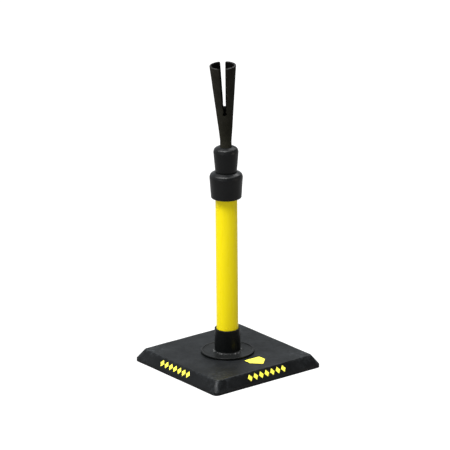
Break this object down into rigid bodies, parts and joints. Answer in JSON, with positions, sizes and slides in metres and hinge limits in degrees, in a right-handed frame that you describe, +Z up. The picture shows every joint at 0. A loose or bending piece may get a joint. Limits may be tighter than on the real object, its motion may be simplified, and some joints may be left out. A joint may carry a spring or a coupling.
{
  "type": "batting tee",
  "caption": "Batting tee: bevelled square rubber base, telescoping round post gripped by a rubber collar, and a flexible slotted cone that holds the ball.",
  "frame": {"origin": "centre of the base's underside, on the ground", "axes": "+Z up along the post, X and Y along the sides of the square base, +Y towards the side with the tube's screw"},
  "size_m": [0.305, 0.305, 0.7145],
  "materials": {
    "base_rubber": "moulded, satin, scuffed on its edges",
    "hub_plastic": "moulded, semi-gloss",
    "collar_rubber": "moulded, satin",
    "rest_rubber": "moulded, matte",
    "yellow_tube": "extruded, glossy yellow",
    "black_tube": "extruded, glossy black",
    "bearing_plastic": "natural, low friction",
    "zinc_steel": "bright zinc plated"
  },
  "bodies": {
    "base": {"base_mat": "base_rubber", "backing_plate": "zinc_steel", "base_socket": "hub_plastic", "flange_screw_1": "zinc_steel", "flange_screw_2": "zinc_steel", "flange_screw_3": "zinc_steel", "flange_screw_4": "zinc_steel", "lower_tube": "yellow_tube", "tube_screw": "zinc_steel", "outer_collar": "collar_rubber", "guide_bush": "bearing_plastic"},
    "slider": {"foot_ring": "bearing_plastic"},
    "extension": {"inner_tube": "black_tube", "rest_plug": "bearing_plastic", "plug_pin": "zinc_steel", "head_collar": "collar_rubber", "rest_neck": "rest_rubber"},
    "ball_rest": {"rest_cup": "rest_rubber"}
  },
  "joints": [
    {"name": "height_slide", "type": "slide", "parent": "base", "child": "slider", "axis": [0, 0, 1], "range_m": [0, 0.28]},
    {"name": "extension_turn", "type": "hinge", "parent": "slider", "child": "extension", "pos_m": [0, 0, 0.1], "axis": [0, 0, 1], "continuous": true},
    {"name": "rest_flex", "type": "hinge", "parent": "extension", "child": "ball_rest", "pos_m": [0, 0, 0.55], "axis": [-0.6101, -0.7923, 0], "range_deg": [-60, 60], "stiffness_Nm_per_rad": 3, "deforming": ["rest_neck"]}
  ]
}
